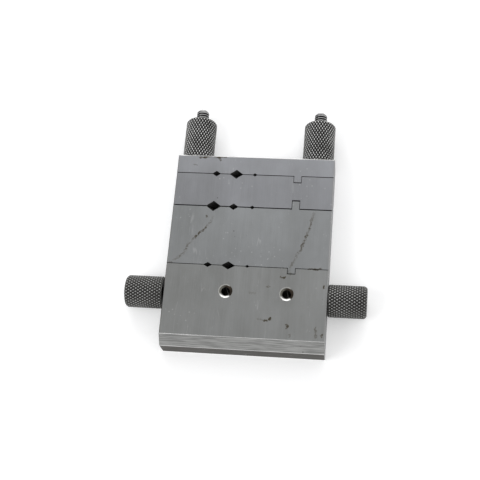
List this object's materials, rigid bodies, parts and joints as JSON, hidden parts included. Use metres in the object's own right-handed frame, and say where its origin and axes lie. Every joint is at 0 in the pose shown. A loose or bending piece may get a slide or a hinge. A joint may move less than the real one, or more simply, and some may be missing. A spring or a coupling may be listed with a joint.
{
  "type": "miter cutting vise",
  "caption": "Palm-size jig of stacked ground steel bars with canted V grooves, clamped by knurled nuts, for sawing and filing miters in wire and tube.",
  "frame": {"origin": "centre of the base block's back face", "axes": "+X to the right seen from the front, +Y up the stack of bars towards the clamp nuts, +Z out of the front face"},
  "size_m": [0.0756, 0.082, 0.0102],
  "materials": {
    "ground_steel": "satin, surface ground",
    "knurled_steel": "darkened, bright on the knurl's crests",
    "thread_steel": "black oxide"
  },
  "bodies": {
    "base": {"base_block": "ground_steel", "left_clamp_stud": "thread_steel", "right_clamp_stud": "thread_steel"},
    "middle_jaw": {"middle_jaw": "ground_steel"},
    "upper_jaw": {"upper_jaw": "ground_steel"},
    "clamp_bar": {"clamp_bar": "ground_steel"},
    "left_clamp_nut": {"left_clamp_nut": "knurled_steel"},
    "right_clamp_nut": {"right_clamp_nut": "knurled_steel"},
    "left_side_screw": {"left_side_screw": "thread_steel"},
    "right_side_screw": {"right_side_screw": "thread_steel"},
    "left_side_knob": {"left_side_knob": "knurled_steel"},
    "right_side_knob": {"right_side_knob": "knurled_steel"}
  },
  "joints": [
    {"name": "middle_jaw_slide", "type": "slide", "parent": "base", "child": "middle_jaw", "axis": [0, 1, 0], "range_m": [-0.00008, 0.0016]},
    {"name": "upper_jaw_slide", "type": "slide", "parent": "base", "child": "upper_jaw", "axis": [0, 1, 0], "range_m": [-0.00016, 0.0032]},
    {"name": "clamp_bar_slide", "type": "slide", "parent": "base", "child": "clamp_bar", "axis": [0, 1, 0], "range_m": [-0.00024, 0.00476]},
    {"name": "left_nut_turn", "type": "hinge", "parent": "clamp_bar", "child": "left_clamp_nut", "pos_m": [-0.0198, 0.05057, 0.0051], "axis": [0, 1, 0], "range_deg": [-110, 2165]},
    {"name": "right_nut_turn", "type": "hinge", "parent": "clamp_bar", "child": "right_clamp_nut", "pos_m": [0.0198, 0.05057, 0.0051], "axis": [0, 1, 0], "range_deg": [-110, 2165]},
    {"name": "left_screw_travel", "type": "slide", "parent": "base", "child": "left_side_screw", "axis": [-1, 0, 0], "range_m": [-0.00067, 0.00476]},
    {"name": "left_knob_turn", "type": "hinge", "parent": "left_side_screw", "child": "left_side_knob", "pos_m": [-0.0261, 0.00465, 0.0051], "axis": [-1, 0, 0], "range_deg": [-306, 2165]},
    {"name": "right_screw_travel", "type": "slide", "parent": "base", "child": "right_side_screw", "axis": [1, 0, 0], "range_m": [-0.00012, 0.00476]},
    {"name": "right_knob_turn", "type": "hinge", "parent": "right_side_screw", "child": "right_side_knob", "pos_m": [0.02555, 0.00465, 0.0051], "axis": [1, 0, 0], "range_deg": [-56, 2165]}
  ],
  "couplings": [
    {"joint": "upper_jaw_slide", "follows": "clamp_bar_slide", "ratio": 0.66667},
    {"joint": "middle_jaw_slide", "follows": "clamp_bar_slide", "ratio": 0.33333},
    {"joint": "left_nut_turn", "follows": "clamp_bar_slide", "rad_per_m": 7915.8},
    {"joint": "right_nut_turn", "follows": "clamp_bar_slide", "rad_per_m": 7915.8},
    {"joint": "left_knob_turn", "follows": "left_screw_travel", "rad_per_m": 7915.8},
    {"joint": "right_knob_turn", "follows": "right_screw_travel", "rad_per_m": 7915.8}
  ]
}
